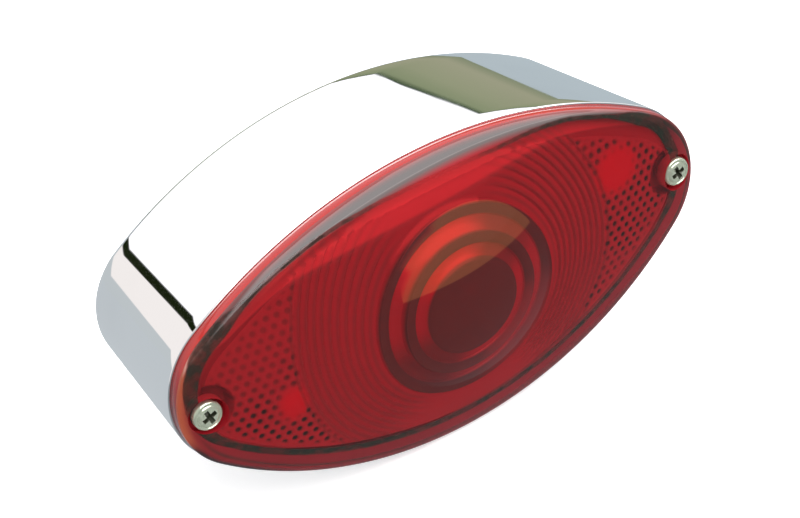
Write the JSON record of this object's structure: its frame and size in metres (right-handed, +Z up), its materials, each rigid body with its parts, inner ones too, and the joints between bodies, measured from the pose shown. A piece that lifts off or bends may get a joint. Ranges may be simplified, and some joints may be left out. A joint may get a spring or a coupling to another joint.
{
  "type": "motorcycle tail light",
  "caption": "Oval cat-eye tail and brake light: chrome shell, red bullseye lens held by end screws, twin-filament bayonet bulb in a sprung socket, rear studs.",
  "frame": {"origin": "centre of the flat mounting face at the back of the housing, on the line through the lens screws and the bulb", "axes": "+X along the long axis of the oval, +Z up, +Y towards the vehicle the lamp is fixed to; the lens looks along -Y"},
  "size_m": [0.1498, 0.122, 0.079],
  "materials": {
    "chrome": "bright chrome plate over die-cast zinc, mirror polished",
    "red_lens": "moulded transparent red acrylic, gloss outside, ribs and prisms inside",
    "foam_rubber": "closed-cell foam rubber, matt",
    "nickel_screw": "nickel plate, bright",
    "black_rubber": "soft rubber, satin",
    "reflector_metal": "bright pressed sheet, clear coated",
    "zinc_fastener": "bright zinc plate",
    "socket_metal": "zinc-plated drawn steel",
    "phenolic": "brown phenolic board",
    "contact_brass": "bright brass",
    "spring_steel": "drawn spring wire",
    "bulb_brass": "nickel-brass bulb cap",
    "bulb_black_glass": "black vitrite glass",
    "solder": "dull lead-free solder",
    "clear_glass": "clear blown glass",
    "support_wire": "nickel lead-in wire",
    "tungsten": "drawn tungsten wire",
    "clear_acrylic": "clear acrylic",
    "brown_wire": "PVC insulation",
    "red_wire": "PVC insulation",
    "black_wire": "PVC insulation"
  },
  "bodies": {
    "root": {"housing": "chrome", "lens_gasket": "foam_rubber", "reflector": "reflector_metal", "reflector_screws": "zinc_fastener", "bulb_socket": "socket_metal", "socket_rivets": "zinc_fastener", "contact_spring": "spring_steel", "plate_window": "clear_acrylic", "window_gasket": "foam_rubber", "mounting_studs": "zinc_fastener", "wire_grommet": "black_rubber", "wire_tail": "brown_wire", "wire_brake": "red_wire", "wire_ground": "black_wire", "bullet_terminals": "contact_brass"},
    "lens_body": {"lens": "red_lens"},
    "left_washer_body": {"screw_washer_left": "black_rubber"},
    "left_screw_body": {"lens_screw_left": "nickel_screw"},
    "right_washer_body": {"screw_washer_right": "black_rubber"},
    "right_screw_body": {"lens_screw_right": "nickel_screw"},
    "contact_body": {"contact_carrier": "phenolic", "contact_buttons": "contact_brass"},
    "bulb_body": {"bulb_cap": "bulb_brass", "bulb_pins": "bulb_brass", "bulb_insulator": "bulb_black_glass", "bulb_tips": "solder", "bulb_glass": "clear_glass", "bulb_stem": "clear_glass", "filament_supports": "support_wire", "filament_tail": "tungsten", "filament_brake": "tungsten"}
  },
  "joints": [
    {"name": "lens_removal", "type": "slide", "parent": "root", "child": "lens_body", "axis": [0, -1, 0], "range_m": [0, 0.06]},
    {"name": "left_screw_travel", "type": "slide", "parent": "lens_body", "child": "left_washer_body", "axis": [0, -1, 0], "range_m": [0, 0.0105]},
    {"name": "left_screw_turn", "type": "hinge", "parent": "left_washer_body", "child": "left_screw_body", "pos_m": [-0.0682, -0.05, 0], "axis": [0, -1, 0], "range_deg": [0, 5400]},
    {"name": "right_screw_travel", "type": "slide", "parent": "lens_body", "child": "right_washer_body", "axis": [0, -1, 0], "range_m": [0, 0.0105]},
    {"name": "right_screw_turn", "type": "hinge", "parent": "right_washer_body", "child": "right_screw_body", "pos_m": [0.0682, -0.05, 0], "axis": [0, -1, 0], "range_deg": [0, 5400]},
    {"name": "bulb_push", "type": "slide", "parent": "root", "child": "contact_body", "axis": [0, 1, 0], "range_m": [0, 0.0022], "stiffness_N_per_m": 4000, "springref_m": -0.003, "deforming": ["contact_spring"]},
    {"name": "bulb_turn", "type": "hinge", "parent": "contact_body", "child": "bulb_body", "pos_m": [0, -0.02, 0], "axis": [0, -1, 0], "range_deg": [0, 22]}
  ],
  "couplings": [
    {"joint": "left_screw_turn", "follows": "left_screw_travel", "rad_per_m": 8976},
    {"joint": "right_screw_turn", "follows": "right_screw_travel", "rad_per_m": 8976}
  ]
}
